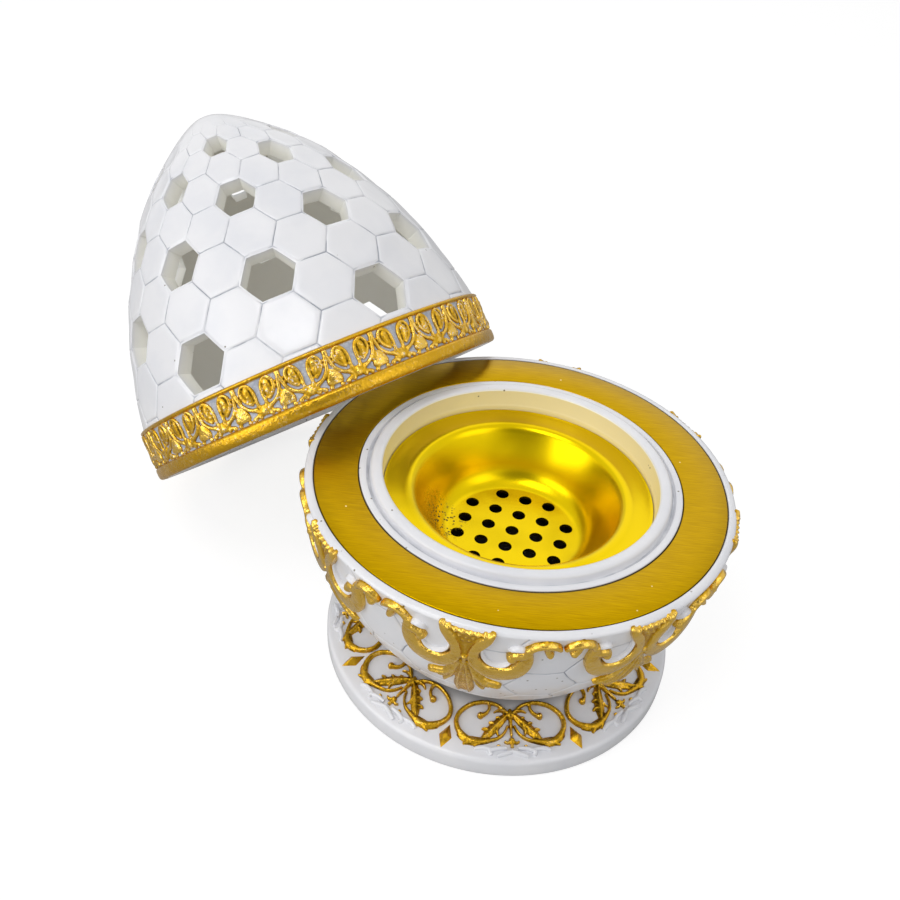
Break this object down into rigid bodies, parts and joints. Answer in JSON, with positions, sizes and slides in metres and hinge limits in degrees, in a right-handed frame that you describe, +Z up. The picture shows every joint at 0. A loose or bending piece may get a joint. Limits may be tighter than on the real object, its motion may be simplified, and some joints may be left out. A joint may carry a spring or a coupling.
{
  "type": "incense burner",
  "caption": "Footed incense burner: a bowl with gilded relief, a perforated charcoal cup hanging in its collar, and a pierced honeycomb dome lid leaning against it.",
  "frame": {"origin": "centre of the felt pad's underside, where the foot stands on the table", "axes": "+Z up along the bowl's axis; -Y faces the viewer of the picture; the lid leans against the bowl at 135 degrees from +X towards +Y"},
  "size_m": [0.1587, 0.1528, 0.1008],
  "materials": {
    "resin": "cast resin, pearl white, satin",
    "gilding": "gilt paint over the cast relief",
    "plate": "brushed, straight grain",
    "cup": "spun and polished, gilt",
    "felt": "felt"
  },
  "bodies": {
    "burner": {"felt_pad": "felt", "pedestal_foot": "resin", "bowl": "resin", "ring_plate": "plate", "bowl_scroll_1": "gilding", "bowl_scroll_2": "gilding", "bowl_scroll_3": "gilding", "bowl_scroll_4": "gilding", "bowl_scroll_5": "gilding", "bowl_scroll_6": "gilding", "bowl_scroll_7": "gilding", "bowl_scroll_8": "gilding", "foot_palmette_1": "gilding", "foot_palmette_2": "gilding", "foot_palmette_3": "gilding", "foot_palmette_4": "gilding", "foot_palmette_5": "gilding", "foot_palmette_6": "gilding", "foot_palmette_7": "gilding", "foot_palmette_8": "gilding", "foot_stud_1": "gilding", "foot_stud_2": "gilding", "foot_stud_3": "gilding", "foot_stud_4": "gilding", "foot_stud_5": "gilding", "foot_stud_6": "gilding", "foot_stud_7": "gilding", "foot_stud_8": "gilding"},
    "cup": {"charcoal_cup": "cup"},
    "lid": {"lid_dome": "resin", "lid_band": "gilding"}
  },
  "joints": [
    {"name": "cup_lift", "type": "slide", "parent": "burner", "child": "cup", "axis": [0, 0, 1], "range_m": [0, 0.04]},
    {"name": "lid_lift", "type": "slide", "parent": "burner", "child": "lid", "axis": [0, 0, 1], "range_m": [0, 0.06]}
  ]
}
